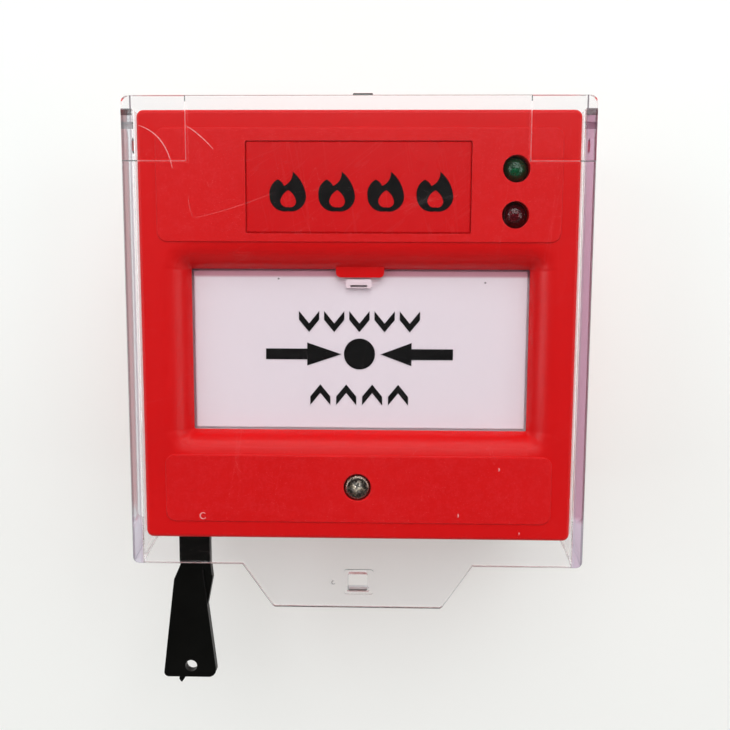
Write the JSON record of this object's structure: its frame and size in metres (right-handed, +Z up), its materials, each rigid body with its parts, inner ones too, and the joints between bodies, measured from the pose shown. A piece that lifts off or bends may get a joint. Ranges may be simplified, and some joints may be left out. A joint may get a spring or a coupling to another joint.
{
  "type": "manual call point",
  "caption": "Square red wall-mounted alarm call point with a hinged clear cover, a press plate behind a sloped window, status lamps, a front screw and a reset key.",
  "frame": {"origin": "centre of the flat back face that lies on the wall", "axes": "+X to the right seen from the front, +Y into the wall, +Z up; the front looks along -Y"},
  "size_m": [0.0904, 0.0487, 0.1238],
  "materials": {
    "red_case": "moulded, fine spark-eroded panels and glossy window slopes",
    "red_box": "moulded, satin",
    "red_insert": "smooth satin insert",
    "seal_rubber": "soft foam rubber",
    "brass_insert": "knurled",
    "clear_nylon": "natural nylon",
    "nickel_screw": "nickel plated",
    "zinc_screw": "zinc plated",
    "steel_pin": "ground",
    "spring_steel": "drawn wire",
    "black_print": "screen print",
    "green_lens": "dark tinted epoxy",
    "red_lens": "dark tinted epoxy",
    "tinned_wire": "tinned",
    "white_plate": "smooth white, faint lilac cast",
    "milky_catch": "milky natural plastic",
    "black_frame": "glass-filled nylon",
    "white_acetal": "acetal",
    "black_key": "moulded, satin",
    "black_switch": "phenolic",
    "switch_button": "acetal",
    "board": "solder mask on glass epoxy",
    "resistor_body": "lacquered",
    "capacitor_can": "sleeved can",
    "black_chip": "moulded epoxy",
    "terminal_green": "polyamide",
    "brass_clamp": "tinned brass",
    "clear_plastic": "clear polycarbonate, lilac at the edges"
  },
  "bodies": {
    "case": {"back_box": "red_box", "housing_gasket": "seal_rubber", "screw_insert": "brass_insert", "screw_washer": "clear_nylon", "housing_screw": "nickel_screw", "front_housing": "red_case", "legend_plate": "red_insert", "legend_symbols": "black_print", "green_led": "green_lens", "red_led": "red_lens", "led_leads": "tinned_wire", "pivot_pin": "steel_pin", "return_spring": "spring_steel", "element_frame": "black_frame", "frame_screws": "zinc_screw", "board_screws": "zinc_screw", "slider_spring": "spring_steel", "latch_pin": "steel_pin", "microswitch_body": "black_switch", "lever_pin": "steel_pin", "switch_terminals": "tinned_wire", "circuit_board": "board", "resistors": "resistor_body", "capacitor": "capacitor_can", "driver_chip": "black_chip", "terminal_block": "terminal_green", "terminal_screws": "zinc_screw", "wire_clamps": "brass_clamp"},
    "cover": {"clear_cover": "clear_plastic"},
    "press_plate": {"press_plate": "white_plate", "plate_catch": "milky_catch", "press_symbols": "black_print"},
    "switch_lever": {"switch_lever": "spring_steel"},
    "switch_plunger": {"microswitch_plunger": "switch_button"},
    "reset_slider": {"reset_slider": "white_acetal"},
    "latch": {"latch_lever": "white_acetal"},
    "key": {"reset_key": "black_key"}
  },
  "joints": [
    {"name": "cover_hinge", "type": "hinge", "parent": "case", "child": "cover", "pos_m": [0, -0.027, 0.0375], "axis": [-1, 0, 0], "range_deg": [0, 110]},
    {"name": "press_plate_tilt", "type": "hinge", "parent": "case", "child": "press_plate", "pos_m": [0, -0.0375, -0.0206], "axis": [-1, 0, 0], "range_deg": [0, 6], "stiffness_Nm_per_rad": 0.2, "springref_deg": -11.46, "deforming": ["return_spring"]},
    {"name": "switch_lever_turn", "type": "hinge", "parent": "case", "child": "switch_lever", "pos_m": [0.0149, -0.0325, -0.0055], "axis": [-1, 0, 0], "range_deg": [0, 12.4]},
    {"name": "switch_plunger_slide", "type": "slide", "parent": "case", "child": "switch_plunger", "axis": [0, 1, 0], "range_m": [0, 0.0009]},
    {"name": "reset_slide", "type": "slide", "parent": "case", "child": "reset_slider", "axis": [0, 0, 1], "range_m": [0, 0.003], "stiffness_N_per_m": 60, "springref_m": -0.006, "deforming": ["slider_spring"]},
    {"name": "latch_turn", "type": "hinge", "parent": "case", "child": "latch", "pos_m": [-0.0365, -0.0292, -0.006], "axis": [-1, 0, 0], "range_deg": [0, 23.7]},
    {"name": "key_withdraw", "type": "slide", "parent": "case", "child": "key", "axis": [0, 0, -1], "range_m": [0, 0.03]}
  ],
  "couplings": [
    {"joint": "switch_lever_turn", "follows": "press_plate_tilt", "ratio": 2.044},
    {"joint": "switch_plunger_slide", "follows": "press_plate_tilt", "m_per_rad": 0.0082},
    {"joint": "latch_turn", "follows": "reset_slide", "rad_per_m": 137}
  ]
}
